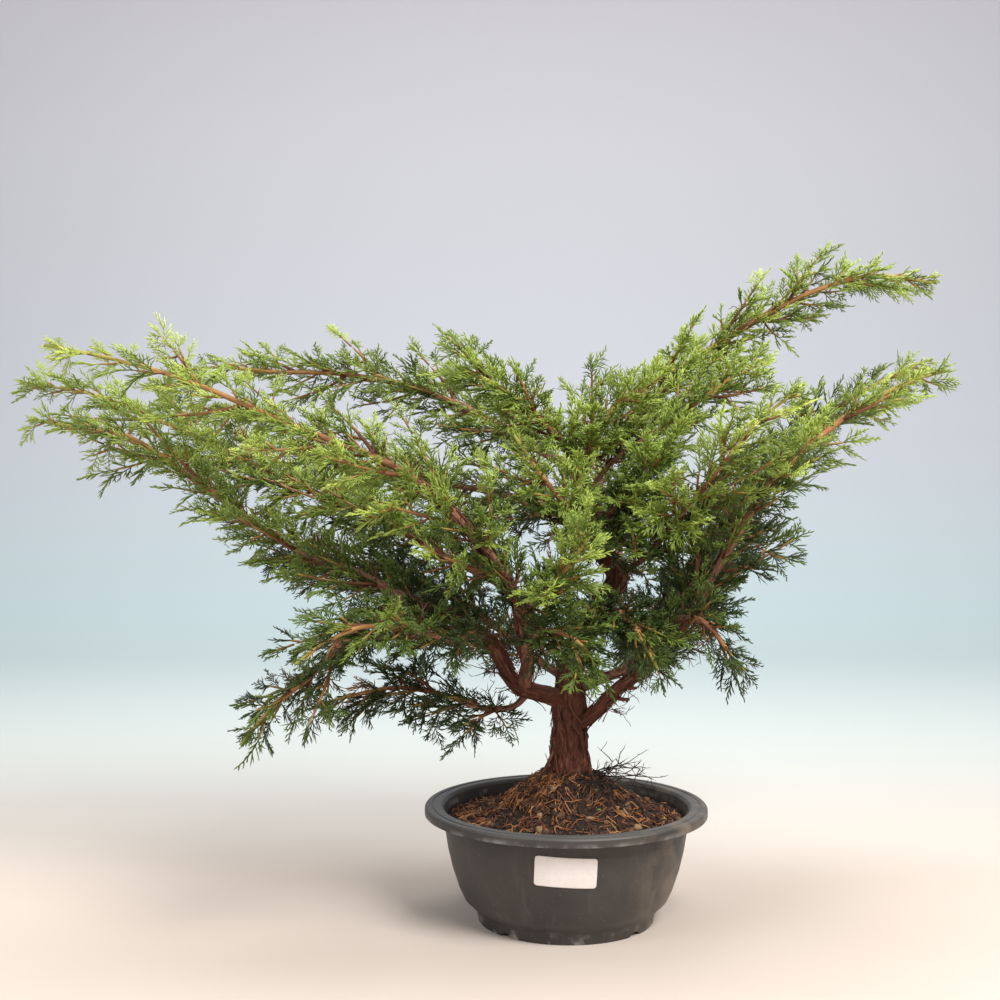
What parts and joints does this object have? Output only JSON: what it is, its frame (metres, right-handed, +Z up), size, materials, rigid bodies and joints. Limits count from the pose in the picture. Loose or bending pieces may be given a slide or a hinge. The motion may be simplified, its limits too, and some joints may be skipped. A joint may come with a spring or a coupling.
{
  "type": "bonsai tree in a pot",
  "caption": "Bush-shaped juniper bonsai with a flaky red-brown trunk, long arching limbs and feathery green scale-leaf sprays, growing in a round dark plastic training pot filled with soil.",
  "frame": {"origin": "centre of the whole plant's box, on the surface that the pot stands on; the pot's axis is 62 mm to +X and 10 mm to -Y of it", "axes": "+Z up the trunk, +X along the crown's longest reach, -Y towards the side with the label"},
  "size_m": [0.8037, 0.3725, 0.578],
  "materials": {
    "pot_plastic": "matte",
    "label_paper": "satin",
    "soil": "matte",
    "bark": "matte",
    "foliage": "satin",
    "dead_wood": "matte",
    "pebble": "matte"
  },
  "bodies": {
    "root": {"back_foliage": "foliage", "back_left_foliage": "foliage", "back_left_limb": "bark", "back_limb": "bark", "bottom_left_foliage": "foliage", "bottom_left_limb": "bark", "centre_foliage": "foliage", "centre_limb": "bark", "crown_foliage": "foliage", "crown_limb": "bark", "dead_twig_front": "dead_wood", "dead_twig_left": "dead_wood", "dead_twig_right": "dead_wood", "front_foliage": "foliage", "front_left_foliage": "foliage", "front_left_limb": "bark", "front_limb": "bark", "left_main_foliage": "foliage", "left_main_limb": "bark", "low_back_left_foliage": "foliage", "low_back_left_limb": "bark", "low_back_right_foliage": "foliage", "low_back_right_limb": "bark", "low_inner_foliage": "foliage", "low_inner_limb": "bark", "low_left_foliage": "foliage", "low_left_limb": "bark", "middle_front_foliage": "foliage", "middle_front_limb": "bark", "middle_left_foliage": "foliage", "middle_left_limb": "bark", "middle_right_foliage": "foliage", "middle_right_limb": "bark", "pebble_front": "pebble", "pebble_front_right": "pebble", "pebble_left": "pebble", "pebble_right": "pebble", "pot": "pot_plastic", "pot_label": "label_paper", "right_back_foliage": "foliage", "right_back_limb": "bark", "right_front_foliage": "foliage", "right_front_limb": "bark", "right_hanging_foliage": "foliage", "right_hanging_limb": "bark", "right_inner_foliage": "foliage", "right_inner_limb": "bark", "right_low_foliage": "foliage", "right_low_limb": "bark", "soil": "soil", "thin_right_foliage": "foliage", "thin_right_limb": "bark", "top_foliage": "foliage", "top_left_foliage": "foliage", "top_left_limb": "bark", "top_limb": "bark", "trunk": "bark", "upper_right_foliage": "foliage", "upper_right_limb": "bark"}
  },
  "joints": []
}
